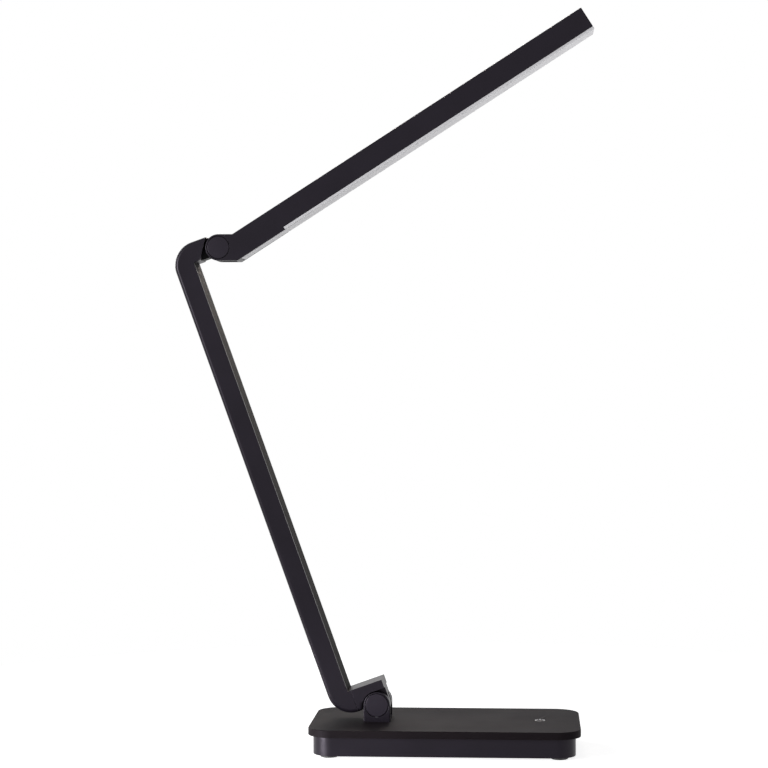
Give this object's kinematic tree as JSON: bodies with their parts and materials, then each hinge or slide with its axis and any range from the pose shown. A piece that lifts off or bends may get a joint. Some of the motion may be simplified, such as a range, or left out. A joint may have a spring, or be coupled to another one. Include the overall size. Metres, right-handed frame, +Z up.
{
  "type": "folding led desk lamp",
  "caption": "Folding desk lamp: weighted base with touch mark, bracket-shaped arm on a friction hinge, slim LED head that folds into the arm.",
  "frame": {"origin": "on the desk under the middle of the base", "axes": "+X from the hinge end of the base to its touch end, +Y away from the viewer of the picture, +Z up"},
  "size_m": [0.2346, 0.0816, 0.4137],
  "materials": {
    "satin_black": "satin moulded ABS",
    "lid_black": "satin moulded ABS, faintly warm",
    "cover_black": "satin moulded ABS",
    "knuckle_black": "matt glass-filled nylon",
    "cap_black": "satin moulded ABS",
    "foot_rubber": "matt",
    "diffuser_white": "frosted opal acrylic",
    "mark_white": "printed",
    "screw_steel": "zinc plated",
    "pin_steel": "turned",
    "weight_steel": "rolled plate",
    "inlet_steel": "drawn shell",
    "inlet_black": "moulded",
    "light_clear": "clear light pipe",
    "battery_foil": "laminated foil pouch",
    "board_green": "solder resist",
    "board_white": "metal core with white resist",
    "led_yellow": "phosphor",
    "pad_copper": "plain copper",
    "wire_black": "PVC jacket"
  },
  "bodies": {
    "base": {"base_tray": "satin_black", "base_lid": "lid_black", "rubber_feet": "foot_rubber", "base_screws": "screw_steel", "ballast_plate": "weight_steel", "battery_cell": "battery_foil", "main_board": "board_green", "usb_inlet": "inlet_steel", "inlet_tongue": "inlet_black", "charge_light": "light_clear", "touch_mark": "mark_white", "touch_pad": "pad_copper", "base_wiring": "wire_black", "hinge_bracket": "satin_black", "bracket_screws": "screw_steel", "lower_pin": "pin_steel", "lower_nut": "pin_steel", "lower_washers": "pin_steel", "lower_caps": "cap_black"},
    "arm": {"arm_shell": "satin_black", "arm_cover": "cover_black", "lower_knuckle": "satin_black", "upper_knuckle": "knuckle_black", "knuckle_screws": "screw_steel", "arm_lead": "wire_black"},
    "head": {"head_housing": "satin_black", "diffuser": "diffuser_white", "led_board": "board_white", "led_chips": "led_yellow", "head_screws": "screw_steel", "head_lead": "wire_black", "upper_pin": "pin_steel", "upper_nut": "pin_steel", "upper_washers": "pin_steel", "upper_caps": "cap_black"}
  },
  "joints": [
    {"name": "base_hinge", "type": "hinge", "parent": "base", "child": "arm", "pos_m": [-0.0383, 0, 0.0254], "axis": [0, 1, 0], "range_deg": [-12, 109.8]},
    {"name": "head_hinge", "type": "hinge", "parent": "arm", "child": "head", "pos_m": [-0.12746, 0, 0.28133], "axis": [0, 1, 0], "range_deg": [-75, 103.2]}
  ]
}
